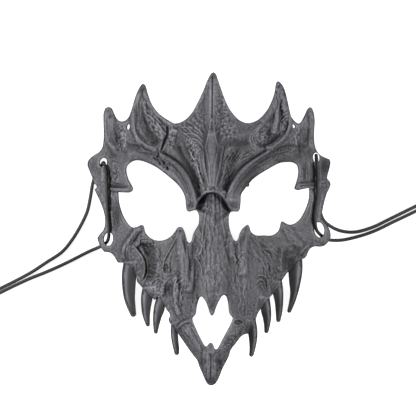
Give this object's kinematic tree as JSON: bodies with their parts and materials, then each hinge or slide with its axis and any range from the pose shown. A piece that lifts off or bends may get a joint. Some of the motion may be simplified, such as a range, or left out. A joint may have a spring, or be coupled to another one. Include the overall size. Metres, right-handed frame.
{
  "type": "dragon mask",
  "caption": "Thin moulded dragon half mask with a spiked crown, slanting eye holes, an open mouth, side fangs and elastic cords threaded through its sides.",
  "frame": {"origin": "middle of the mask's box on the surface that it lies on, with the cords left out", "axes": "+Y from the chin to the crown, +X to the viewer's right as one looks at the face, +Z out of the face"},
  "size_m": [0.2816, 0.1804, 0.0552],
  "materials": {
    "moulded_plastic": "semi-matte, with lighter worn ridges",
    "elastic": "matte woven cover"
  },
  "bodies": {
    "root": {"mask": "moulded_plastic", "left_cord": "elastic", "right_cord": "elastic", "left_knot": "elastic", "right_knot": "elastic"}
  },
  "joints": []
}
